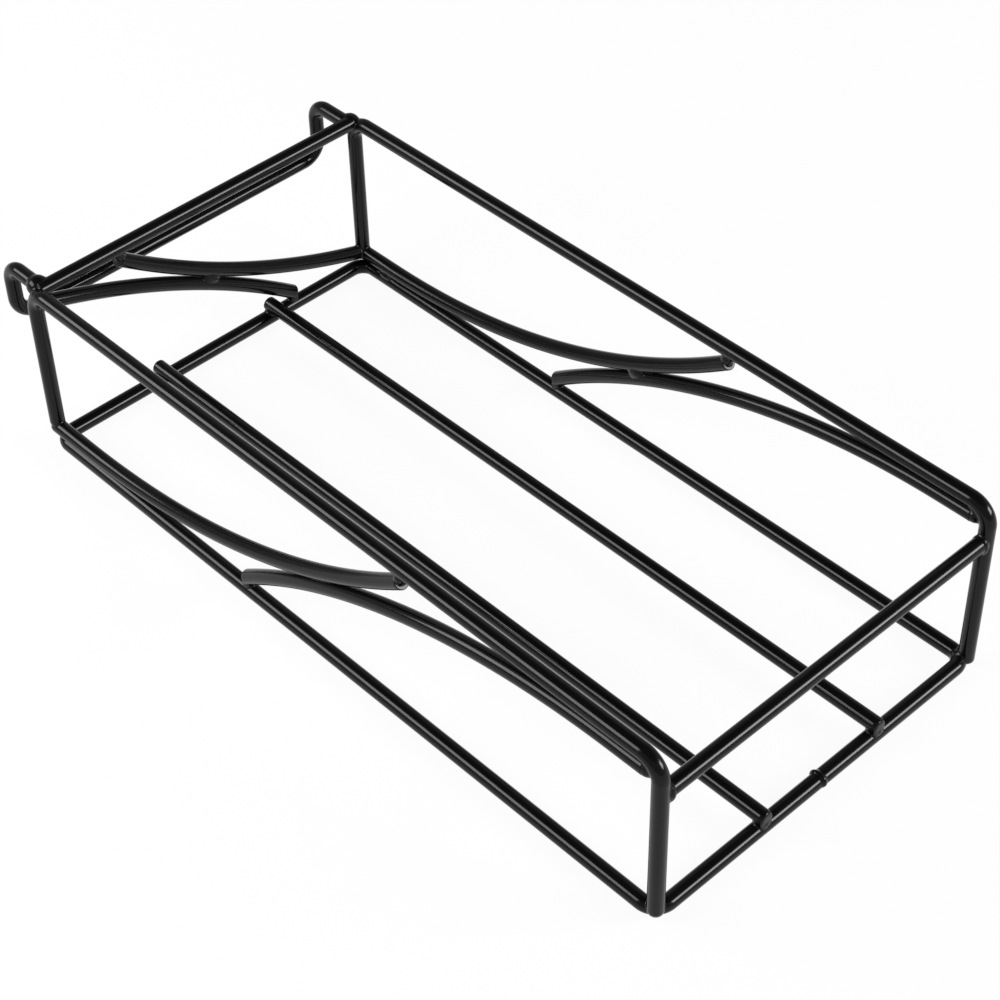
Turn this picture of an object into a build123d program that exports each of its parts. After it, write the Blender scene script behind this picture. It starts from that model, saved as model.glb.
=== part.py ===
from build123d import *
from math import acos, atan2, cos, degrees, sin
import os

# A hanging condiment rack, bent and welded from one gauge of round steel rod.
# X runs across the rack, -Y is its front, +Y its rear with the hooks, and Z is up from the table.

# Rod and overall sizes of the tray, outside to outside, in millimetres
rod = 6.0
rack_width = 163.0
rack_length = 326.0
rack_height = 78.0

# Base ring and side frames, radii on the rod's axis
ring_corner_radius = 6.5
rail_bend_radius = 8.0
front_foot_clearance = 2.4
rear_foot_bite = 0.6

# Cross bars: height of the front one, inset of the rear one from the posts, both on the axes
front_bar_height = 61.0
top_bar_inset = 1.0
butt_bite = 1.2

# Slats on the ring
slat_spacing = 57.0
slat_overhang = 1.5
slat_bite = 0.6

# Bows: straight runs of the side ones along the ring and rail, measured from the posts' axes
side_bow_run = 19.7
lower_bow_overhang = 2.5
upper_bow_setback = 5.8
rear_lean_share = 0.78
bow_clearance = 0.1
bow_end_gap = 0.4

# Hook wire: inset of its arms from the posts, reach behind them and drop below the rails, all on the axes
hook_inset = 3.5
hook_reach = 20.0
hook_drop = 24.5
hook_top_radius = 7.0
hook_low_radius = 8.5

# Weld beads, as shares of the rod's radius
joint_bead_share = 1.23
hook_bead_share = 1.4
corner_bead_share = 1.13
collar_base_share = 1.27
collar_tip_share = 1.07
collar_length_share = 1.1
drop_bead_share = 0.97
drop_forward_share = 0.5
foot_bead_lift_share = 1.05
seam_ground_share = 0.2
valley_bead_share = 0.55
valley_inset_share = 0.6
valley_length_share = 2.7
bead_turn = (27, 41, 13)

# Axes that every piece is placed from
rod_radius = rod / 2
half_width = rack_width / 2 - rod_radius
half_length = rack_length / 2 - rod_radius
ring_height = rod_radius
rail_height = rack_height - rod_radius
middle_height = (ring_height + rail_height) / 2
slat_height = ring_height + rod - slat_bite
seat_height = ring_height + rod + bow_clearance
top_bar_y = half_length - top_bar_inset
hook_y = half_length + hook_reach
butt_reach = half_width - rod_radius + butt_bite
sides = {"left": -half_width, "right": half_width}

# Sizes of the beads
joint_bead = rod_radius * joint_bead_share
hook_bead = rod_radius * hook_bead_share
corner_bead = rod_radius * corner_bead_share
collar_base = rod_radius * collar_base_share
collar_tip = rod_radius * collar_tip_share
collar_length = rod_radius * collar_length_share
drop_bead = rod_radius * drop_bead_share
drop_forward = rod_radius * drop_forward_share
valley_bead = rod_radius * valley_bead_share
valley_inset = rod_radius * valley_inset_share
valley_length = rod_radius * valley_length_share

# The origin lies under the middle of the whole rack, from the front welds to the hooks
front_reach = half_length + joint_bead
rear_reach = hook_y + rod_radius
tray_shift = (front_reach - rear_reach) / 2


def bent_rod(path):
    # A round rod whose axis is the path
    return sweep(Plane(path @ 0, z_dir=path % 0) * Circle(rod_radius), path)


def straight_rod(start, end):
    return bent_rod(Wire(Line(start, end)))


def fitted(piece, *neighbours):
    # A rod end or a bead takes only the space that its neighbours leave free
    for neighbour in neighbours:
        piece -= neighbour
    return piece


def bead(centre, radius):
    # A ball whose poles point away from all the rods
    return Pos(*centre) * Rot(*bead_turn) * Sphere(radius)


def long_bead():
    # A round-ended bead along X, for the valley between two rods
    run = valley_length - 2 * valley_bead
    core = Cylinder(valley_bead, run, rotation=(0, 90, 0))
    return core + bead((-run / 2, 0, 0), valley_bead) + bead((run / 2, 0, 0), valley_bead)


# Base ring
ring_corners = [
    (-half_width, -half_length, ring_height),
    (half_width, -half_length, ring_height),
    (half_width, half_length, ring_height),
    (-half_width, half_length, ring_height),
]
base_ring = bent_rod(FilletPolyline(*ring_corners, radius=ring_corner_radius, close=True))


# Side frames: front post, rail and rear post are one rod
def side_frame(x):
    foot_height = seat_height + rod_radius - rear_foot_bite
    corners = [
        (x, -half_length, front_foot_clearance),
        (x, -half_length, rail_height),
        (x, half_length, rail_height),
        (x, half_length, foot_height),
    ]
    return bent_rod(FilletPolyline(*corners, radius=rail_bend_radius))


frames = {side: side_frame(x) for side, x in sides.items()}


# Cross bars, which butt against the frames
def cross_bar(y, height):
    return straight_rod((-butt_reach, y, height), (butt_reach, y, height))


front_bar = cross_bar(-half_length, front_bar_height)
top_bar = cross_bar(top_bar_y, rail_height)

# Hook wire, which butts against the rear of the top bar
hook_x = half_width - hook_inset
hook_start = top_bar_y + rod_radius - butt_bite
hook_height = rail_height - hook_drop
hook_corners = [
    (-hook_x, hook_start, rail_height),
    (-hook_x, hook_y, rail_height),
    (-hook_x, hook_y, hook_height),
    (hook_x, hook_y, hook_height),
    (hook_x, hook_y, rail_height),
    (hook_x, hook_start, rail_height),
]
hook_radii = [hook_top_radius, hook_low_radius, hook_low_radius, hook_top_radius]
hook_wire = bent_rod(FilletPolyline(*hook_corners, radius=hook_radii))


# Slats, pressed a little into the front and rear runs of the ring
def base_slat(x):
    end = half_length + slat_overhang
    return straight_rod((x, -end, slat_height), (x, end, slat_height))


slats = {"left": base_slat(-slat_spacing / 2), "right": base_slat(slat_spacing / 2)}


# Bows: their axes are drawn in a panel, u along it from its middle and v up from the table
def bow_circle(foot_u, lean):
    # The circle that leaves the foot at the lean and touches the twin bow in the panel's middle
    twin_reach = rod_radius + bow_clearance / 2
    rise = middle_height - seat_height
    along = foot_u * sin(lean) - rise * cos(lean)
    radius = (foot_u**2 + rise**2 - twin_reach**2) / (2 * (twin_reach - along))
    return (foot_u + radius * sin(lean), seat_height + radius * cos(lean)), radius


def lower_bow(circle, start_u, run_end_u=None):
    # An arc whose cut end stops just under the rod above it, for a drop of weld to join them,
    # after a straight run along the ring if the bow has one
    (centre_u, centre_v), radius = circle
    start = -degrees(acos((start_u - centre_u) / radius))
    top_v = rail_height - rod_radius - bow_end_gap
    end = -90 - degrees(acos((centre_v - top_v) / (radius - rod_radius)))
    arc = CenterArc((centre_u, centre_v), radius, start, end - start)
    if run_end_u is None:
        return Wire(arc)
    return Wire([Line((run_end_u, centre_v - radius), arc @ 0), arc])


def turned(shape):
    # The upper bow of a panel is the lower one turned half round the panel's middle
    return Pos(0, 2 * middle_height) * Rot(0, 0, 180) * shape


side_foot = half_length - side_bow_run
side_circle = bow_circle(side_foot, 0)
side_lower = lower_bow(side_circle, side_foot, half_length + lower_bow_overhang)
side_upper = turned(lower_bow(side_circle, side_foot, half_length - upper_bow_setback))

rear_lean = rear_lean_share * atan2(middle_height - seat_height, half_width)
rear_circle = bow_circle(half_width, rear_lean)
rear_lower = lower_bow(rear_circle, butt_reach)
rear_upper = turned(rear_lower)

panels = {side: Plane((x, 0, 0), x_dir=(0, 1, 0), z_dir=(1, 0, 0)) for side, x in sides.items()}
rear_panel = Plane((0, half_length, 0), x_dir=(1, 0, 0), z_dir=(0, -1, 0))

lower_bows = {side: bent_rod(panels[side] * side_lower) for side in sides}
upper_bows = {side: bent_rod(panels[side] * side_upper) for side in sides}
rear_lower_bow = bent_rod(rear_panel * rear_lower)
rear_upper_bow = bent_rod(rear_panel * rear_upper)

# Butt weld of the ring, ground off underneath so that the ring stands flat
ring_seam_weld = fitted(bead((0, -half_length, ring_height), joint_bead), base_ring)
ring_seam_weld = split(ring_seam_weld, Plane.XY.offset(rod_radius * seam_ground_share))

# Feet: front posts to the ring's corners, with a bead half way between their axes,
# rear posts to the lower bows and those to the ring
foot_diagonal = ring_corner_radius * (cos(atan2(1, 1)) - 1) / 2
foot_lift = rod_radius * foot_bead_lift_share
front_foot_welds = []
rear_foot_welds = []
for side, x in sides.items():
    hand = x / half_width
    corner = (x + hand * foot_diagonal, -half_length - foot_diagonal, ring_height + foot_lift)
    front_foot_welds.append(fitted(bead(corner, joint_bead), base_ring, frames[side]))
    foot = (x, half_length, seat_height + rod_radius)
    rear_foot_welds.append(fitted(bead(foot, joint_bead), lower_bows[side], frames[side], rear_lower_bow))
    valley = (side_foot + valley_length / 2, ring_height + rod_radius, -hand * valley_inset)
    tack = panels[side].from_local_coords(valley)
    rear_foot_welds.append(fitted(bead(tack, valley_bead), base_ring, lower_bows[side]))

# Front bar to the posts, and slats to the ring
front_bar_welds = []
for side, x in sides.items():
    end = (x - x / half_width * rod_radius, -half_length, front_bar_height)
    front_bar_welds.append(fitted(bead(end, joint_bead), frames[side], front_bar))
slat_welds = []
for side, slat in slats.items():
    for y in (-half_length, half_length):
        crossing = (sides[side] / half_width * slat_spacing / 2, y, ring_height + rod_radius)
        slat_welds.append(fitted(bead(crossing, joint_bead), base_ring, slat, rear_upper_bow))


# Hook arms to the top bar and the rear bends
hook_welds = []
for side, x in sides.items():
    joint = (x / half_width * hook_x, top_bar_y + rod_radius, rail_height)
    hook_welds.append(fitted(bead(joint, hook_bead), hook_wire, top_bar, frames[side], rear_upper_bow))


# Bows to each other in the middle of their panel, on its inner face
def middle_weld(panel, circle, inset, *bows):
    (centre_u, centre_v), radius = circle
    lean = degrees(atan2(centre_u, centre_v - middle_height))
    return fitted(panel * Pos(0, middle_height, inset) * Rot(0, 0, -lean) * long_bead(), *bows)


# Drops of weld over the cut ends of the bows, on the ring and under the rails
def drop_weld(panel, path, *rods):
    centre = panel.from_local_coords(path @ 1 + path % 1 * drop_forward)
    return fitted(bead(centre, drop_bead), *rods)


# Beads in front of the side bows that start under a bend
def corner_weld(panel, path, *rods):
    centre = panel.from_local_coords(path @ 0 - path % 0 * drop_forward)
    return fitted(bead(centre, corner_bead), *rods)


# Tapered collars round the rear bows where they butt against a corner
def collar_weld(path, *neighbours):
    collar = Cone(collar_base, collar_tip, collar_length, align=(Align.CENTER, Align.CENTER, Align.MIN))
    return fitted(Plane(path @ 0, z_dir=path % 0) * collar, *neighbours)


bow_middle_welds = [middle_weld(rear_panel, rear_circle, valley_inset, rear_lower_bow, rear_upper_bow)]
bow_ring_welds = [drop_weld(rear_panel, rear_upper, rear_upper_bow, base_ring, *slats.values(), *slat_welds)]
bow_rail_welds = [drop_weld(rear_panel, rear_lower, rear_lower_bow, top_bar)]
low_corner = [rear_lower_bow, lower_bows["right"], frames["right"], base_ring, *rear_foot_welds]
high_corner = [rear_upper_bow, frames["left"], top_bar, *hook_welds]
bow_corner_welds = [
    collar_weld(rear_panel * rear_lower, *low_corner),
    collar_weld(rear_panel * rear_upper, *high_corner),
]
for side, x in sides.items():
    panel, frame = panels[side], frames[side]
    inset = -x / half_width * valley_inset
    bow_middle_welds.append(middle_weld(panel, side_circle, inset, lower_bows[side], upper_bows[side]))
    bow_ring_welds.append(drop_weld(panel, side_upper, upper_bows[side], base_ring))
    bow_rail_welds.append(drop_weld(panel, side_lower, lower_bows[side], frame))
    bow_corner_welds.append(corner_weld(panel, side_upper, upper_bows[side], frame))

# Each rod is cut to the round of the rods that it butts against or stands on
parts = {
    "base_ring": [base_ring],
    "left_side_frame": [fitted(frames["left"], base_ring)],
    "right_side_frame": [fitted(frames["right"], base_ring)],
    "front_bar": [fitted(front_bar, *frames.values())],
    "rear_top_bar": [fitted(top_bar, *frames.values())],
    "hook_wire": [fitted(hook_wire, top_bar, *frames.values())],
    "left_base_slat": [fitted(slats["left"], base_ring)],
    "right_base_slat": [fitted(slats["right"], base_ring)],
    "left_lower_bow": [fitted(lower_bows["left"], frames["left"])],
    "right_lower_bow": [fitted(lower_bows["right"], frames["right"])],
    "left_upper_bow": [fitted(upper_bows["left"], base_ring, frames["left"])],
    "right_upper_bow": [fitted(upper_bows["right"], base_ring, frames["right"])],
    "rear_lower_bow": [fitted(rear_lower_bow, lower_bows["right"], frames["right"], top_bar)],
    "rear_upper_bow": [fitted(rear_upper_bow, frames["left"], base_ring, top_bar, *slats.values())],
    "ring_seam_weld": [ring_seam_weld],
    "front_foot_welds": front_foot_welds,
    "left_rear_foot_welds": rear_foot_welds[:2],
    "right_rear_foot_welds": rear_foot_welds[2:],
    "left_front_bar_weld": front_bar_welds[:1],
    "right_front_bar_weld": front_bar_welds[1:],
    "slat_welds": slat_welds,
    "bow_middle_welds": bow_middle_welds,
    "bow_ring_welds": bow_ring_welds,
    "bow_rail_welds": bow_rail_welds,
    "bow_corner_welds": bow_corner_welds,
    "hook_welds": hook_welds,
}

os.makedirs("parts", exist_ok=True)
for name, pieces in parts.items():
    solids = [Pos(0, tray_shift, 0) * solid for piece in pieces for solid in piece.solids()]
    export_step(solids[0] if len(solids) == 1 else Compound(solids), f"parts/{name}.step")
    print(name, len(solids), [round(solid.volume, 2) for solid in solids])
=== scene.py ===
import bmesh
import bpy
from math import acos, atan2, cos, degrees, pi, radians, sin, sqrt
from mathutils import Matrix, Vector


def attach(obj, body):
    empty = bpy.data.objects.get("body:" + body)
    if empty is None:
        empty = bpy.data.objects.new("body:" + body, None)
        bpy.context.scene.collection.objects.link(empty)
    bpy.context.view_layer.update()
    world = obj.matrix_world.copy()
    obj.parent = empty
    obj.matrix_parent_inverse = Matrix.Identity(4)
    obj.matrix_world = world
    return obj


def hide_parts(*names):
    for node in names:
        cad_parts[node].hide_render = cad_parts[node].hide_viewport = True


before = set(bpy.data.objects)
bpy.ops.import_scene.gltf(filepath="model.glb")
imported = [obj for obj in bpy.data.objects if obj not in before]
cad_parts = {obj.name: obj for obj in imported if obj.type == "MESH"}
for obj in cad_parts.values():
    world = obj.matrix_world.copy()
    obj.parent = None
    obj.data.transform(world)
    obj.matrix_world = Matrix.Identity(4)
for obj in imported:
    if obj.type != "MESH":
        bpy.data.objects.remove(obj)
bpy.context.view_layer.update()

# the rack's own sizes in metres, on the axes of the rods
rack = {
    "rodRadius": 0.003,
    "halfWidth": 0.0785,
    "halfLength": 0.160,
    "ringHeight": 0.003,
    "ringCorner": 0.0065,
    "railHeight": 0.075,
    "railBend": 0.008,
    "frontFoot": 0.0024,  # lower end of the front posts
    "rearFootBite": 0.0006,  # how far the rear posts reach into the lower bows
    "buttBite": 0.0012,  # how far a bar reaches into what it butts against
    "trayShift": -0.009655,  # the origin is under the middle of tray and hooks
    "bendStep": 4.0,  # degrees between points of a bend
}
rodR = rack["rodRadius"]
halfW = rack["halfWidth"]
halfL = rack["halfLength"]
ringZ = rack["ringHeight"]
railZ = rack["railHeight"]
midZ = (ringZ + railZ) / 2
butt = halfW - rodR + rack["buttBite"]  # half length of what lies between the posts
sides = (("left", -1), ("right", 1))


def tray(x, y, z):
    return Vector((x, y + rack["trayShift"], z))  # tray coordinates to the part's frame


def roundedPath(corners, radii, closed=False):
    # straight runs joined by tangent arcs
    out = []
    count = len(corners)
    for i, corner in enumerate(corners):
        if not closed and i in (0, count - 1):
            out.append(corner.copy())
            continue
        radius = radii[i % len(radii)] if closed else radii[(i - 1) % len(radii)]
        back = (corners[i - 1] - corner).normalized()
        ahead = (corners[(i + 1) % count] - corner).normalized()
        half = back.angle(ahead) / 2
        middle = corner + (back + ahead).normalized() * (radius / sin(half))
        spread = pi / 2 - half
        steps = max(2, round(degrees(2 * spread) / rack["bendStep"]))
        axisIn = (corner - middle).normalized()
        axisOn = (ahead - axisIn * ahead.dot(axisIn)).normalized()
        for k in range(steps + 1):
            turn = -spread + 2 * spread * k / steps
            out.append(middle + radius * (cos(turn) * axisIn + sin(turn) * axisOn))
    return out


# bows, drawn in their panel: u along it from its middle, v up from the table
bows = {
    "sideRun": 0.0197,  # straight run of a side bow, from the post's axis
    "lowerOverhang": 0.0025,  # past the rear post's axis
    "upperSetback": 0.0058,  # short of the front post's axis
    "rearLeanShare": 0.78,  # how far the rear bows lean, of the line to the panel's middle
    "clearance": 0.0001,  # between a bow and what it passes
    "endGap": 0.0004,  # from a cut end to the rail
    "steps": 72,  # along an arc
}
seatZ = ringZ + 2 * rodR + bows["clearance"]  # axis of a bow's run on the ring


def bowCircle(footU, lean):
    # the arc from the foot that just clears its own half turn in the panel's middle
    reach = rodR + bows["clearance"] / 2
    rise = midZ - seatZ
    along = footU * sin(lean) - rise * cos(lean)
    radius = (footU**2 + rise**2 - reach**2) / (2 * (reach - along))
    return footU + radius * sin(lean), seatZ + radius * cos(lean), radius


def lowerBow(circle, startU, runEndU=None):
    cu, cv, radius = circle
    start = -acos((startU - cu) / radius)
    end = -pi / 2 - acos((cv - railZ + rodR + bows["endGap"]) / (radius - rodR))
    out = [] if runEndU is None else [(runEndU, cv - radius)]
    for k in range(bows["steps"] + 1):
        turn = start + (end - start) * k / bows["steps"]
        out.append((cu + radius * cos(turn), cv + radius * sin(turn)))
    return out


def turned(points):
    return [(-u, 2 * midZ - v) for u, v in points]  # half a turn about the panel's middle


def onSide(x, points):
    return [tray(x, u, v) for u, v in points]


def onRear(points):
    return [tray(u, halfL, v) for u, v in points]


footU = halfL - bows["sideRun"]
sideCircle = bowCircle(footU, 0.0)
sideLower = lowerBow(sideCircle, footU, halfL + bows["lowerOverhang"])
sideUpper = turned(lowerBow(sideCircle, footU, halfL - bows["upperSetback"]))
rearLean = bows["rearLeanShare"] * atan2(midZ - seatZ, halfW)
rearLower = lowerBow(bowCircle(halfW, rearLean), butt)
rearUpper = turned(rearLower)

# straight bars, slats and the hook wire, in tray coordinates
bars = {
    "frontBar": 0.061,
    "topBarInset": 0.001,
    "slatX": 0.0285,
    "slatZ": 0.0084,
    "slatEnd": 0.1615,
}
hook = {
    "inset": 0.0035,
    "reach": 0.020,
    "drop": 0.0245,
    "topRadius": 0.007,
    "lowRadius": 0.0085,
}
topBarY = halfL - bars["topBarInset"]
hookStart = topBarY + rodR - rack["buttBite"]
hookX = halfW - hook["inset"]
hookY = halfL + hook["reach"]
hookZ = railZ - hook["drop"]

# every rod by its path, and whether that path is closed
rodPaths = {}
ringCorners = [
    tray(-halfW, -halfL, ringZ),
    tray(halfW, -halfL, ringZ),
    tray(halfW, halfL, ringZ),
    tray(-halfW, halfL, ringZ),
]
rodPaths["base_ring"] = (roundedPath(ringCorners, [rack["ringCorner"]], True), True)
for side, sign in sides:
    x = sign * halfW
    posts = [
        tray(x, -halfL, rack["frontFoot"]),
        tray(x, -halfL, railZ),
        tray(x, halfL, railZ),
        tray(x, halfL, seatZ + rodR - rack["rearFootBite"]),
    ]
    rodPaths[side + "_side_frame"] = (roundedPath(posts, [rack["railBend"]]), False)
    slatEnds = [tray(sign * bars["slatX"], end * bars["slatEnd"], bars["slatZ"]) for end in (-1, 1)]
    rodPaths[side + "_base_slat"] = (slatEnds, False)
    rodPaths[side + "_lower_bow"] = (onSide(x, sideLower), False)
    rodPaths[side + "_upper_bow"] = (onSide(x, sideUpper), False)
frontBarEnds = [tray(end * butt, -halfL, bars["frontBar"]) for end in (-1, 1)]
rodPaths["front_bar"] = (frontBarEnds, False)
topBarEnds = [tray(end * butt, topBarY, railZ) for end in (-1, 1)]
rodPaths["rear_top_bar"] = (topBarEnds, False)
hookCorners = [
    tray(-hookX, hookStart, railZ),
    tray(-hookX, hookY, railZ),
    tray(-hookX, hookY, hookZ),
    tray(hookX, hookY, hookZ),
    tray(hookX, hookY, railZ),
    tray(hookX, hookStart, railZ),
]
hookRadii = [hook["topRadius"], hook["lowRadius"], hook["lowRadius"], hook["topRadius"]]
rodPaths["hook_wire"] = (roundedPath(hookCorners, hookRadii), False)
rodPaths["rear_lower_bow"] = (onRear(rearLower), False)
rodPaths["rear_upper_bow"] = (onRear(rearUpper), False)
print("paths ready:", len(rodPaths), "rods")


class Shade:
    # wraps a socket so that shader maths reads as plain expressions
    def __init__(self, tree, socket):
        self.tree = tree
        self.socket = socket

    def node(self, kind, settings=None, **values):
        # i0, i1 and so on name a socket by its place, other keys by its name
        made = self.tree.nodes.new(kind)
        for key, value in (settings or {}).items():
            if key == "stops":
                ramp = made.color_ramp
                while len(ramp.elements) < len(value):
                    ramp.elements.new(0.5)
                for element, (place, level) in zip(ramp.elements, value):
                    element.position = place
                    element.color = (level, level, level, 1)
            else:
                setattr(made, key, value)
        for key, value in values.items():
            byPlace = key[0] == "i" and key[1:].isdigit()
            slot = made.inputs[int(key[1:]) if byPlace else key.replace("_", " ")]
            if isinstance(value, Shade):
                self.tree.links.new(value.socket, slot)
            else:
                slot.default_value = value
        return made

    def out(self, made, name=0):
        return Shade(self.tree, made.outputs[name])

    def maths(self, operation, a, b):
        return self.out(self.node("ShaderNodeMath", {"operation": operation}, i0=a, i1=b))

    def __add__(self, other):
        return self.maths("ADD", self, other)

    __radd__ = __add__

    def __sub__(self, other):
        return self.maths("SUBTRACT", self, other)

    def __rsub__(self, other):
        return self.maths("SUBTRACT", other, self)

    def __mul__(self, other):
        return self.maths("MULTIPLY", self, other)

    __rmul__ = __mul__

    def high(self, other):
        return self.maths("MAXIMUM", self, other)

    def low(self, other):
        return self.maths("MINIMUM", self, other)


# gloss black paint: slight orange peel, cloudy gloss and fine dust-soft specks
rodLook = {
    "deep": (0.0022, 0.0022, 0.0025, 1),
    "worn": (0.0042, 0.0042, 0.0046, 1),
    "ior": 1.28,
    "roughness": 0.10,
    "roughSpread": 0.08,
    "dustRough": 0.10,
    "dustStops": ((0.70, 0.0), (0.80, 1.0)),
    "peel": {"Scale": 700.0, "Detail": 2.0, "Roughness": 0.45},
    "cloud": {"Scale": 60.0, "Detail": 4.0, "Roughness": 0.6},
    "speck": {"Scale": 1500.0, "Detail": 1.0, "Roughness": 0.5},
    "bumpStrength": 0.012,
    "bumpDistance": 0.00006,
}
weldLook = dict(
    rodLook,
    roughness=0.13,
    peel=dict(rodLook["peel"], Scale=500.0),
    bumpStrength=0.12,
)


def blackPaint(name, look):
    mat = bpy.data.materials.new(name)
    mat.use_nodes = True
    tree = mat.node_tree
    shader = tree.nodes["Principled BSDF"]
    start = Shade(tree, None)
    place = start.out(start.node("ShaderNodeTexCoord"), "Object")

    def noise(kind):
        return start.out(start.node("ShaderNodeTexNoise", None, Vector=place, **look[kind]))

    peel, cloud, speck = noise("peel"), noise("cloud"), noise("speck")
    dust = start.out(start.node("ShaderNodeValToRGB", {"stops": look["dustStops"]}, Fac=speck))
    blend = {"Factor": cloud, "A": look["deep"], "B": look["worn"]}
    tone = start.out(start.node("ShaderNodeMix", {"data_type": "RGBA"}, **blend), 2)
    rough = cloud * look["roughSpread"] + look["roughness"] + dust * look["dustRough"]
    relief = {"Strength": look["bumpStrength"], "Distance": look["bumpDistance"]}
    bump = start.out(start.node("ShaderNodeBump", None, Height=peel, **relief))
    shader.inputs["IOR"].default_value = look["ior"]
    shader.inputs["Roughness"].default_value = look["roughness"]  # where the nodes aren't read
    tree.links.new(tone.socket, shader.inputs["Base Color"])
    tree.links.new(rough.socket, shader.inputs["Roughness"])
    tree.links.new(bump.socket, shader.inputs["Normal"])
    return mat


rodPaint = blackPaint("rod_paint_gloss", rodLook)
weldPaint = blackPaint("weld_paint_gloss", weldLook)
print("paint ready")

# rods: one node tree sweeps a round section along a path
rodMesh = {
    "facets": 40,  # round a rod
    "crease": 50.0,  # degrees past which an edge stays sharp
    "endRound": 0.00035,  # softened edge of a cut end
    "endSteps": 4,
    "endSettle": 0.0006,  # to a full ring behind that edge, so the run's normals stay straight
    "firstRounds": {  # first ends that the weld has melted round
        "left_side_frame": 0.0027,
        "right_side_frame": 0.0014,
        "left_lower_bow": 0.0027,
        "right_lower_bow": 0.0027,
    },
}


def newTree(name, inputs):
    # an empty geometry tree with its named inputs
    tree = bpy.data.node_groups.new(name, "GeometryNodeTree")
    face = tree.interface
    face.new_socket("Geometry", in_out="INPUT", socket_type="NodeSocketGeometry")
    for label, kind in inputs:
        face.new_socket(label, in_out="INPUT", socket_type="NodeSocket" + kind)
    face.new_socket("Geometry", in_out="OUTPUT", socket_type="NodeSocketGeometry")
    return tree


def endTree(tree, source, last):
    # every tree ends in real geometry with its paint
    add, link = tree.nodes.new, tree.links.new
    real, paint = add("GeometryNodeRealizeInstances"), add("GeometryNodeSetMaterial")
    link(last, real.inputs["Geometry"])
    link(real.outputs["Geometry"], paint.inputs["Geometry"])
    link(source.outputs["Paint"], paint.inputs["Material"])
    link(paint.outputs["Geometry"], add("NodeGroupOutput").inputs["Geometry"])


def rodTree():
    tree = newTree("bentRod", (
        ("Rod radius", "Float"),
        ("Facets", "Int"),
        ("Crease angle", "Float"),
        ("Paint", "Material"),
    ))
    add, link = tree.nodes.new, tree.links.new
    source = add("NodeGroupInput")
    ring = add("GeometryNodeCurvePrimitiveCircle")
    link(source.outputs["Facets"], ring.inputs["Resolution"])
    link(source.outputs["Rod radius"], ring.inputs["Radius"])
    skin = add("GeometryNodeCurveToMesh")
    skin.inputs["Fill Caps"].default_value = True
    link(source.outputs["Geometry"], skin.inputs["Curve"])
    link(ring.outputs["Curve"], skin.inputs["Profile Curve"])
    link(add("GeometryNodeInputRadius").outputs[0], skin.inputs["Scale"])  # thinner at cut ends
    angle, sharp = add("GeometryNodeInputMeshEdgeAngle"), add("FunctionNodeCompare")
    sharp.data_type, sharp.operation = "FLOAT", "GREATER_THAN"
    link(angle.outputs[0], sharp.inputs[0])
    link(source.outputs["Crease angle"], sharp.inputs[1])
    smooth, crease = add("GeometryNodeSetShadeSmooth"), add("GeometryNodeSetShadeSmooth")
    smooth.domain, crease.domain = "FACE", "EDGE"
    crease.inputs["Shade Smooth"].default_value = False
    link(skin.outputs["Mesh"], smooth.inputs["Geometry"])
    link(smooth.outputs["Geometry"], crease.inputs["Geometry"])
    link(sharp.outputs[0], crease.inputs["Selection"])
    endTree(tree, source, crease.outputs["Geometry"])
    return tree


def setInputs(modifier, tree, values):
    # a modifier's inputs, set by the identifiers of their sockets
    modifier.node_group = tree
    for item in tree.interface.items_tree:
        if item.in_out == "INPUT" and item.name in values:
            modifier[item.identifier] = values[item.name]


def softEnd(points, size):
    # thins the last stretch of a cut end, so that its edge is rounded
    first, steps = points[0], rodMesh["endSteps"]
    away = (points[1] - first).normalized()
    stations = []
    for k in range(steps + 1):
        turn = k * pi / (2 * steps)
        thick = 1 - (size / rodR) * (1 - sin(turn))
        stations.append((first + away * size * (1 - cos(turn)), thick))
    stations.append((first + away * (size + rodMesh["endSettle"]), 1.0))
    return stations


def rodCurve(name, rodName, points, closed):
    firstRound = rodMesh["firstRounds"].get(rodName, rodMesh["endRound"])
    lastRound = rodMesh["endRound"]
    if closed:
        stations = [(p, 1.0) for p in points]
    else:
        first, last = points[0], points[-1]
        near = firstRound + 2 * rodMesh["endSettle"]  # no other points as close to an end
        far = lastRound + 2 * rodMesh["endSettle"]
        stations = softEnd(points, firstRound)
        for p in points[1:-1]:
            if (p - first).length > near and (p - last).length > far:
                stations.append((p, 1.0))
        stations += softEnd(points[::-1], lastRound)[::-1]
    data = bpy.data.curves.new(name, "CURVE")
    data.dimensions = "3D"
    line = data.splines.new("POLY")
    line.points.add(len(stations) - 1)
    for spot, (place, thick) in zip(line.points, stations):
        spot.co = (*place, 1)
        spot.radius = thick
    line.use_cyclic_u = closed
    obj = bpy.data.objects.new(name, data)
    bpy.context.scene.collection.objects.link(obj)
    return obj


def plainMesh(source, name):
    # the evaluated shape as a plain mesh object, with the source and its modifiers gone
    bpy.context.view_layer.update()
    shape = source.evaluated_get(bpy.context.evaluated_depsgraph_get())
    mesh = bpy.data.meshes.new_from_object(shape)
    mesh.name = name
    obj = bpy.data.objects.new(name, mesh)
    bpy.context.scene.collection.objects.link(obj)
    bpy.data.objects.remove(source)
    return obj


bentRod = rodTree()


def sweep(name, rodName, points, closed, radius, paint):
    curve = rodCurve(name + "_path", rodName, points, closed)
    setInputs(curve.modifiers.new("bentRod", "NODES"), bentRod, {
        "Rod radius": radius,
        "Facets": rodMesh["facets"],
        "Crease angle": radians(rodMesh["crease"]),
        "Paint": paint,
    })
    return plainMesh(curve, name)


for node, (points, closed) in rodPaths.items():
    rod = sweep(node + "_rod", node, points, closed, rodR, rodPaint)
    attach(rod, "root")
    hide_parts(node)
print("rods swept:", len(rodPaths))

for node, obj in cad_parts.items():  # the solids under the pieces wear the same paint
    obj.data.materials.clear()
    obj.data.materials.append(weldPaint if "weld" in node else rodPaint)

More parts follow.
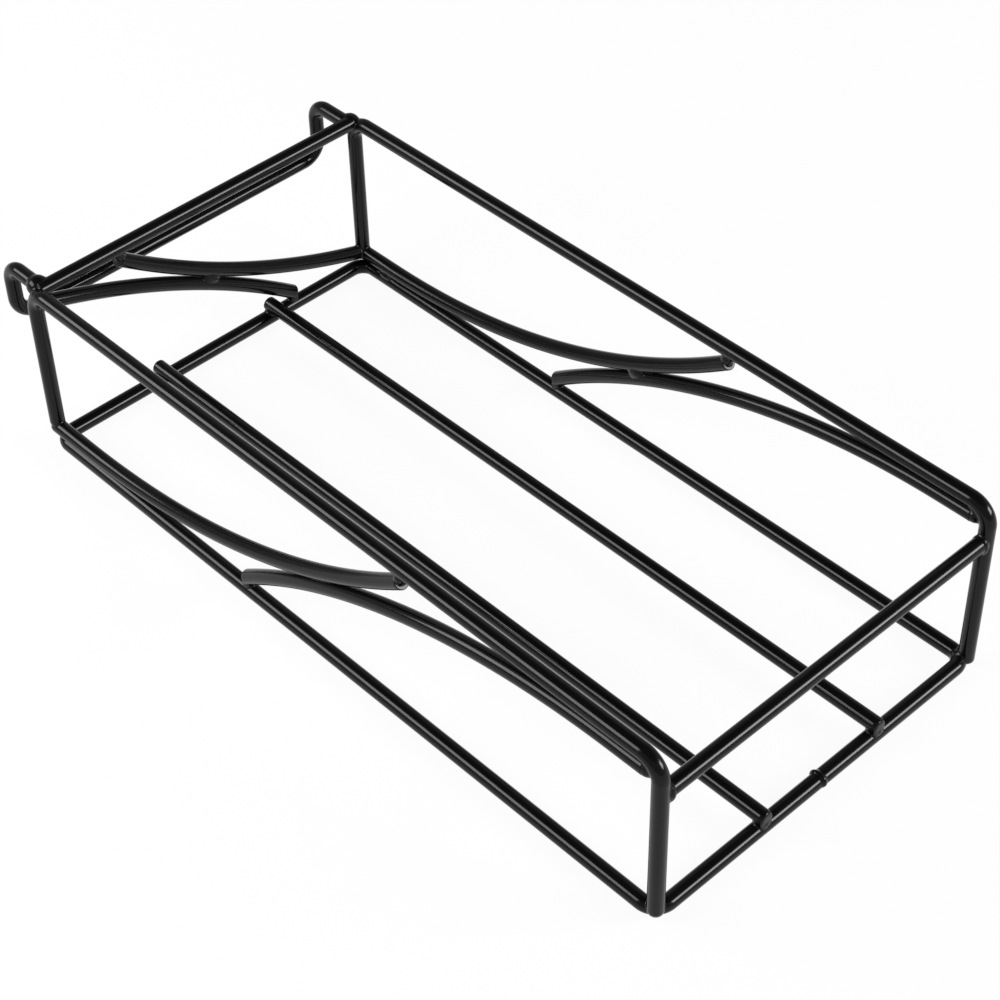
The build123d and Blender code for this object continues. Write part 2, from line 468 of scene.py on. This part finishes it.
# welds: rods near a joint and a bead of weld metal, melted together and blurred into fillets
weldForm = {
    "voxel": 0.0003,
    "stubRadius": 0.0029,  # stubs lie just under the rods that they repeat
    "stubStep": 0.0005,
    "beadDetail": 4,
    "blur": 12,  # steps that round the inner corners
    "ripple": 0.00014,
    "rippleScale": 420.0,
    "rippleDetail": 1.5,
    "sideTilt": -26.4,  # degrees that the bows lean where they cross, on a side
    "rearTilt": 29.6,  # and across the rear
}
slatPlug = {  # flat front end of a slat
    "wide": 0.0031,
    "tall": 0.0036,
    "deep": 0.003,
    "front": 0.1625,
    "z": 0.0078,
    "facets": 48,
}
# each kind of weld: reach of the stubs round it, radii of its bead, and where it sits
beads = {
    "seam": {"reach": 0.004, "radii": (0.0017, 0.0039, 0.0034), "z": 0.0035},
    "frontFoot": {"reach": 0.009, "radii": (0.0033, 0.0033, 0.0030), "inset": 0.0012, "z": 0.0043},
    "rearFoot": {"reach": 0.008, "radii": (0.0031, 0.0031, 0.0026), "z": 0.0117},
    "tack": {
        "reach": 0.006,
        "radii": (0.0015, 0.0035, 0.0015),
        "inset": 0.0019,
        "y": 0.1440,
        "z": 0.0060,
    },
    "frontBar": {"reach": 0.008, "radii": (0.0019, 0.0035, 0.0043), "x": 0.0755, "z": 0.0605},
    "slat": {"reach": 0.007, "radii": (0.0030, 0.0029, 0.0024), "z": 0.0057},
    "sideMiddle": {"reach": 0.010, "radii": (0.0018, 0.0042, 0.0026), "inset": 0.0015},
    "rearMiddle": {"reach": 0.010, "radii": (0.0042, 0.0018, 0.0026), "inset": 0.0015},
    "sideDrop": {"reach": 0.008, "radii": (0.0027, 0.0025, 0.0026), "past": 0.0004, "off": 0.0019},
    "rearDrop": {"reach": 0.008, "radii": (0.0025, 0.0027, 0.0026), "past": 0.0004, "off": 0.0019},
    "corner": {"reach": 0.008, "radii": (0.0031, 0.0031, 0.0031), "inset": 0.0006, "z": 0.0098},
    "tip": {"reach": 0.007, "radii": (0.0030, 0.0034, 0.0030), "past": 0.0004, "up": 0.0001},
    "leftHook": {
        "reach": 0.009,
        "radii": (0.0043, 0.0043, 0.0042),
        "right": 0.0,
        "back": 0.0010,
        "down": 0.0002,
    },
    "rightHook": {
        "reach": 0.009,
        "radii": (0.0042, 0.0042, 0.0036),
        "right": 0.0014,
        "back": -0.0008,
        "down": 0.0002,
    },
}


def weldTree():
    tree = newTree("weldFinish", (
        ("Blur steps", "Int"),
        ("Ripple depth", "Float"),
        ("Ripple scale", "Float"),
        ("Ripple detail", "Float"),
        ("Paint", "Material"),
    ))
    add, link = tree.nodes.new, tree.links.new
    source = add("NodeGroupInput")
    where, blur = add("GeometryNodeInputPosition"), add("GeometryNodeBlurAttribute")
    blur.data_type = "FLOAT_VECTOR"
    blurIn = [s for s in blur.inputs if s.enabled and s.name == "Value"][0]
    blurOut = [s for s in blur.outputs if s.enabled][0]
    settle = add("GeometryNodeSetPosition")
    link(where.outputs[0], blurIn)
    link(source.outputs["Blur steps"], blur.inputs["Iterations"])
    link(source.outputs["Geometry"], settle.inputs["Geometry"])
    link(blurOut, settle.inputs["Position"])
    wave, centred = add("ShaderNodeTexNoise"), add("ShaderNodeMath")
    link(source.outputs["Ripple scale"], wave.inputs["Scale"])
    link(source.outputs["Ripple detail"], wave.inputs["Detail"])
    centred.operation = "SUBTRACT"
    centred.inputs[1].default_value = 0.5  # the noise runs from 0 to 1
    link(wave.outputs[0], centred.inputs[0])
    depth, normal = add("ShaderNodeMath"), add("GeometryNodeInputNormal")
    push = add("ShaderNodeVectorMath")
    depth.operation, push.operation = "MULTIPLY", "SCALE"
    link(centred.outputs[0], depth.inputs[0])
    link(source.outputs["Ripple depth"], depth.inputs[1])
    link(normal.outputs[0], push.inputs[0])
    link(depth.outputs[0], push.inputs["Scale"])
    uneven, smooth = add("GeometryNodeSetPosition"), add("GeometryNodeSetShadeSmooth")
    link(settle.outputs[0], uneven.inputs["Geometry"])
    link(push.outputs[0], uneven.inputs["Offset"])
    link(uneven.outputs[0], smooth.inputs["Geometry"])
    endTree(tree, source, smooth.outputs[0])
    return tree


def stubOf(rodName, centre, reach):
    # the stretch of a rod's path that lies within reach of a joint
    points, closed = rodPaths[rodName]
    if closed:
        far = max(range(len(points)), key=lambda i: (points[i] - centre).length)
        points = points[far:] + points[:far + 1]
    dense = []
    for a, b in zip(points, points[1:]):
        count = max(1, round((b - a).length / weldForm["stubStep"]))
        dense += [a.lerp(b, k / count) for k in range(count)]
    dense.append(points[-1])
    return [p for p in dense if (p - centre).length < reach]


def addBead(melt, bead, place, rodNames, tilt):
    spot = tray(*place)
    for rodName in rodNames:
        path = stubOf(rodName, spot, bead["reach"])
        radius = weldForm["stubRadius"]
        stub = sweep(rodName + "_stub", rodName, path, False, radius, weldPaint)
        melt.from_mesh(stub.data)
        bpy.data.objects.remove(stub)
    shape = Matrix.Translation(spot) @ tilt @ Matrix.Diagonal((*bead["radii"], 1))
    detail = weldForm["beadDetail"]
    bmesh.ops.create_icosphere(melt, subdivisions=detail, radius=1, matrix=shape)


def addPlug(melt, sign):
    deep = slatPlug["deep"]
    spot = tray(sign * bars["slatX"], deep / 2 - slatPlug["front"], slatPlug["z"])
    size = Matrix.Diagonal((slatPlug["wide"], 1, slatPlug["tall"], 1))
    flat = Matrix.Translation(spot) @ size @ Matrix.Rotation(pi / 2, 4, "X")
    form = {"segments": slatPlug["facets"], "radius1": 1, "radius2": 1, "depth": deep}
    bmesh.ops.create_cone(melt, cap_ends=True, matrix=flat, **form)


weldFinish = weldTree()


def weldPiece(node, joints):
    melt = bmesh.new()
    for kind, place, rodNames, tilt in joints:
        addBead(melt, beads[kind], place, rodNames, tilt)
    if node == "slat_welds":
        for sign in (-1, 1):
            addPlug(melt, sign)
    mesh = bpy.data.meshes.new(node + "_melt")
    melt.to_mesh(mesh)
    melt.free()
    obj = bpy.data.objects.new(node + "_melt", mesh)
    bpy.context.scene.collection.objects.link(obj)
    voxels = obj.modifiers.new("voxels", "REMESH")
    voxels.mode = "VOXEL"
    voxels.voxel_size = weldForm["voxel"]
    setInputs(obj.modifiers.new("weldFinish", "NODES"), weldFinish, {
        "Blur steps": weldForm["blur"],
        "Ripple depth": weldForm["ripple"],
        "Ripple scale": weldForm["rippleScale"],
        "Ripple detail": weldForm["rippleDetail"],
        "Paint": weldPaint,
    })
    piece = plainMesh(obj, node + "_metal")
    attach(piece, "root")
    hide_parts(node)


straight = Matrix.Identity(4)
sideTilt = Matrix.Rotation(radians(weldForm["sideTilt"]), 4, "X")
rearTilt = Matrix.Rotation(radians(weldForm["rearTilt"]), 4, "Y")
welds = {}  # each weld's joints: kind, place in the tray, rods and tilt


def addJoint(node, kind, place, rodNames, tilt=straight):
    welds.setdefault(node, []).append((kind, place, rodNames, tilt))


def dropPlaces(end, bead):
    # beads past the cut ends of a pair of bows: on the ring, and its half turn under the rail
    low = (end[0] - bead["past"], end[1] - bead["off"])
    return low, turned([low])[0]


def ringJoints():
    addJoint("ring_seam_weld", "seam", (0, -halfL, beads["seam"]["z"]), ["base_ring"])
    for side, sign in sides:
        bead = beads["frontFoot"]
        place = (sign * halfW - sign * bead["inset"], bead["inset"] - halfL, bead["z"])
        addJoint("front_foot_welds", "frontFoot", place, ["base_ring", side + "_side_frame"])
    for side, sign in sides:
        for y in (-halfL, halfL):
            place = (sign * bars["slatX"], y, beads["slat"]["z"])
            addJoint("slat_welds", "slat", place, [side + "_base_slat", "base_ring"])


def hookJoints():
    for side, sign in sides:
        bead = beads[side + "Hook"]
        place = (sign * hookX + bead["right"], hookStart + bead["back"], railZ - bead["down"])
        rodNames = ["hook_wire", "rear_top_bar", side + "_side_frame"]
        addJoint("hook_welds", side + "Hook", place, rodNames)


def bowJoints():
    place = (0, halfL - beads["rearMiddle"]["inset"], midZ)
    rodNames = ["rear_lower_bow", "rear_upper_bow"]
    addJoint("bow_middle_welds", "rearMiddle", place, rodNames, rearTilt)
    low, high = dropPlaces(rearUpper[-1], beads["rearDrop"])
    rodNames = ["rear_upper_bow", "base_ring"]
    addJoint("bow_ring_welds", "rearDrop", (low[0], halfL, low[1]), rodNames)
    rodNames = ["rear_lower_bow", "rear_top_bar"]
    addJoint("bow_rail_welds", "rearDrop", (high[0], halfL, high[1]), rodNames)
    low = (butt - beads["corner"]["inset"], beads["corner"]["z"])
    high = turned([low])[0]
    rodNames = ["rear_lower_bow", "right_side_frame", "right_lower_bow"]
    addJoint("bow_corner_welds", "corner", (low[0], halfL, low[1]), rodNames)
    rodNames = ["rear_upper_bow", "left_side_frame", "rear_top_bar"]
    addJoint("bow_corner_welds", "corner", (high[0], halfL, high[1]), rodNames)
    for side, sign in sides:
        x = sign * halfW
        post, lower, upper = side + "_side_frame", side + "_lower_bow", side + "_upper_bow"
        place = (x - sign * beads["sideMiddle"]["inset"], 0, midZ)
        addJoint("bow_middle_welds", "sideMiddle", place, [lower, upper], sideTilt)
        low, high = dropPlaces(sideUpper[-1], beads["sideDrop"])
        addJoint("bow_ring_welds", "sideDrop", (x, *low), [upper, "base_ring"])
        addJoint("bow_rail_welds", "sideDrop", (x, *high), [lower, post])
        tipY, tipZ = sideUpper[0]
        place = (x, tipY - beads["tip"]["past"], tipZ + beads["tip"]["up"])
        addJoint("bow_corner_welds", "tip", place, [upper, post])


def sideJoints():
    for side, sign in sides:
        x = sign * halfW
        post, lower = side + "_side_frame", side + "_lower_bow"
        place = (x, halfL, beads["rearFoot"]["z"])
        addJoint(side + "_rear_foot_welds", "rearFoot", place, [lower, post])
        bead = beads["tack"]
        place = (x - sign * bead["inset"], bead["y"], bead["z"])
        addJoint(side + "_rear_foot_welds", "tack", place, ["base_ring", lower])
        bead = beads["frontBar"]
        place = (sign * bead["x"], -halfL, bead["z"])
        addJoint(side + "_front_bar_weld", "frontBar", place, [post, "front_bar"])


ringJoints()
hookJoints()
bowJoints()
sideJoints()
for node, joints in welds.items():
    weldPiece(node, joints)
print("welds melted:", len(welds))

# stage: pale floor that keeps a soft shadow, two soft boxes and a dim room
stage = {
    "floorSize": 8.0,
    "floorColor": (0.9, 0.9, 0.9, 1),
    "floorGlow": 0.94,  # share of plain white in what camera and reflections see
    "roomHigh": 0.05,  # light from straight above
    "roomLow": 0.40,  # light from the walls
    "roomTop": 0.82,  # where the walls end, as the sine of the height angle
    "roomFade": 0.22,
    "leftBox": {
        "place": (-0.60, 0.49, 0.48),
        "aim": (0.0, 0.30, 0.04),
        "size": (0.70, 0.38),
        "power": 8.0,
    },
    "rightBox": {
        "place": (0.92, -1.40, 0.76),
        "aim": (0.50, 0.0, 0.04),
        "size": (0.92, 0.60),
        "power": 33.0,
    },
}
white = (1, 1, 1, 1)


def buildFloor():
    half = stage["floorSize"] / 2
    corners = [(-half, -half, 0), (half, -half, 0), (half, half, 0), (-half, half, 0)]
    mesh = bpy.data.meshes.new("stage_floor")
    mesh.from_pydata(corners, [], [(0, 1, 2, 3)])
    floor = bpy.data.objects.new("stage_floor", mesh)
    bpy.context.scene.collection.objects.link(floor)
    mat = bpy.data.materials.new("stage_white")
    mat.use_nodes = True
    tree = mat.node_tree
    tree.nodes.clear()
    start = Shade(tree, None)
    rays = start.node("ShaderNodeLightPath")
    direct, gloss = start.out(rays, "Is Camera Ray"), start.out(rays, "Is Glossy Ray")
    seen = direct.high(gloss).high(start.out(rays, "Is Transmission Ray"))
    matte = start.out(start.node("ShaderNodeBsdfDiffuse", None, Color=stage["floorColor"]))
    glow = start.out(start.node("ShaderNodeEmission", None, Color=white, Strength=1.0))
    share = seen * stage["floorGlow"]
    both = start.out(start.node("ShaderNodeMixShader", None, i0=share, i1=matte, i2=glow))
    end = tree.nodes.new("ShaderNodeOutputMaterial")
    tree.links.new(both.socket, end.inputs["Surface"])
    mesh.materials.append(mat)


def buildLamp(name):
    spec = stage[name]
    lamp = bpy.data.lights.new(name, "AREA")
    lamp.shape = "RECTANGLE"
    lamp.size, lamp.size_y = spec["size"]
    lamp.energy = spec["power"]
    obj = bpy.data.objects.new(name, lamp)
    obj.location = tray(*spec["place"])
    ahead = Vector(spec["aim"]) - Vector(spec["place"])
    obj.rotation_euler = ahead.to_track_quat("-Z", "Y").to_euler()
    bpy.context.scene.collection.objects.link(obj)


def buildRoom():
    world = bpy.data.worlds.new("room")
    world.use_nodes = True
    tree = world.node_tree
    room = Shade(tree, None)
    ray = room.out(room.node("ShaderNodeTexCoord"), "Generated")
    height = room.out(room.node("ShaderNodeSeparateXYZ", None, Vector=ray), "Z")
    wall = ((stage["roomTop"] - height) * (1 / stage["roomFade"])).high(0.0).low(1.0)
    level = wall * (stage["roomLow"] - stage["roomHigh"]) + stage["roomHigh"]
    back = tree.nodes["Background"]
    back.inputs["Color"].default_value = white
    tree.links.new(level.socket, back.inputs["Strength"])
    bpy.context.scene.world = world


buildFloor()
for name in ("leftBox", "rightBox"):
    buildLamp(name)
buildRoom()
print("stage set")

# camera solved from the photograph, in tray coordinates
view = {
    "place": (-0.427458, -0.471876, 0.622494),
    "forward": (0.49290, 0.53666, -0.68486),
    "rightZ": -0.01877,  # slight roll
    "lens": 86.43,
    "sensor": 36,
}


def buildCamera():
    data = bpy.data.cameras.new("photoCamera")
    data.lens = view["lens"]
    data.sensor_width = view["sensor"]
    data.sensor_fit = "HORIZONTAL"
    cam = bpy.data.objects.new("photoCamera", data)
    forward = Vector(view["forward"]).normalized()
    level = forward.cross(Vector((0, 0, 1))).normalized()
    up = level.cross(forward)
    roll = view["rightZ"] / up.z
    right = (level * sqrt(1 - roll * roll) + up * roll).normalized()
    up = right.cross(forward)
    turn = Matrix((right, up, -forward)).transposed()
    cam.matrix_world = Matrix.Translation(tray(*view["place"])) @ turn.to_4x4()
    bpy.context.scene.collection.objects.link(cam)
    bpy.context.scene.camera = cam
    bpy.context.scene.view_settings.view_transform = "Standard"


buildCamera()
print("camera set")
